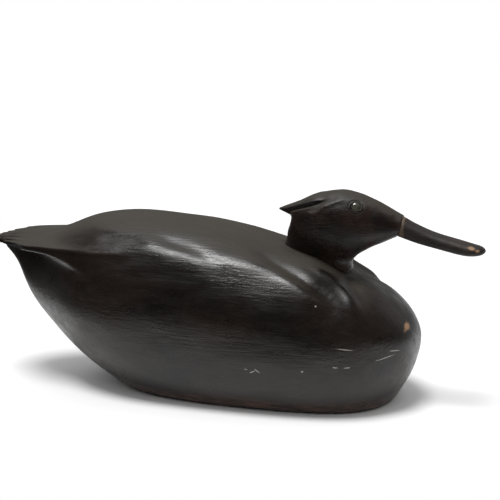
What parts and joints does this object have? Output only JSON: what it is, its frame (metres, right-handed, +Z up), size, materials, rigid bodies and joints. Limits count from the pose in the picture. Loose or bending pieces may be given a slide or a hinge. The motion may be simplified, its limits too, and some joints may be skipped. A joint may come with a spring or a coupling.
{
  "type": "duck decoy",
  "caption": "Carved wooden duck decoy with a rounded body on a flat underside, a thin fanned tail, a raised head with a swept back crest, a long narrow bill and glass eyes.",
  "frame": {"origin": "on the flat underside, below the middle of the overall length and on the middle line", "axes": "+X along the bill, +Y to the bird's left, +Z up from the underside"},
  "size_m": [0.448, 0.1704, 0.1846],
  "materials": {
    "body_wood": "worn dark paint under old varnish",
    "head_wood": "worn dark paint under old varnish",
    "bill_wood": "worn dark paint, rubbed to bare wood in spots",
    "eye_glass": "polished, backed with dark paint"
  },
  "bodies": {
    "root": {"body": "body_wood", "head": "head_wood", "bill": "bill_wood", "eye_right": "eye_glass", "eye_left": "eye_glass"}
  },
  "joints": []
}
